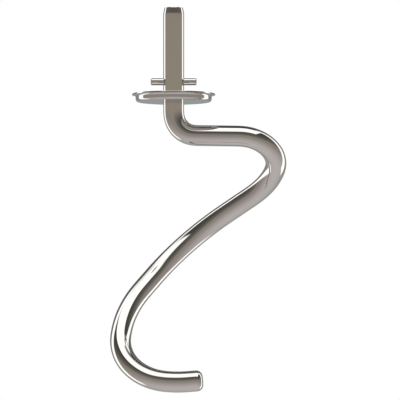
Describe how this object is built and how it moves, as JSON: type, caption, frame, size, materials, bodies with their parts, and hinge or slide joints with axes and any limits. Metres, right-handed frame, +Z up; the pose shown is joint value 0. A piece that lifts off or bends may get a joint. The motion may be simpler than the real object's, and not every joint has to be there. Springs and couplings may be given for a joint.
{
  "type": "spiral dough hook",
  "caption": "Spiral dough hook for a stand mixer: bent round steel bar with a straight shank, a drive pin through it and a shallow dish that keeps dough off the drive.",
  "frame": {"origin": "centre of the shank's end face, which enters the mixer's socket first", "axes": "+Z up along the shank, out of the hook and into the mixer; +X to the side that the cranked arm points to; -Y the front, where the hook's toe is"},
  "size_m": [0.1006, 0.0719, 0.2207],
  "materials": {
    "bar_steel": "mirror-polished stainless steel bar",
    "pin_steel": "polished stainless steel pin",
    "dish_steel": "spun and polished stainless steel sheet"
  },
  "bodies": {
    "hook": {"hook_bar": "bar_steel", "cross_pin": "pin_steel", "guard_dish": "dish_steel"}
  },
  "joints": []
}
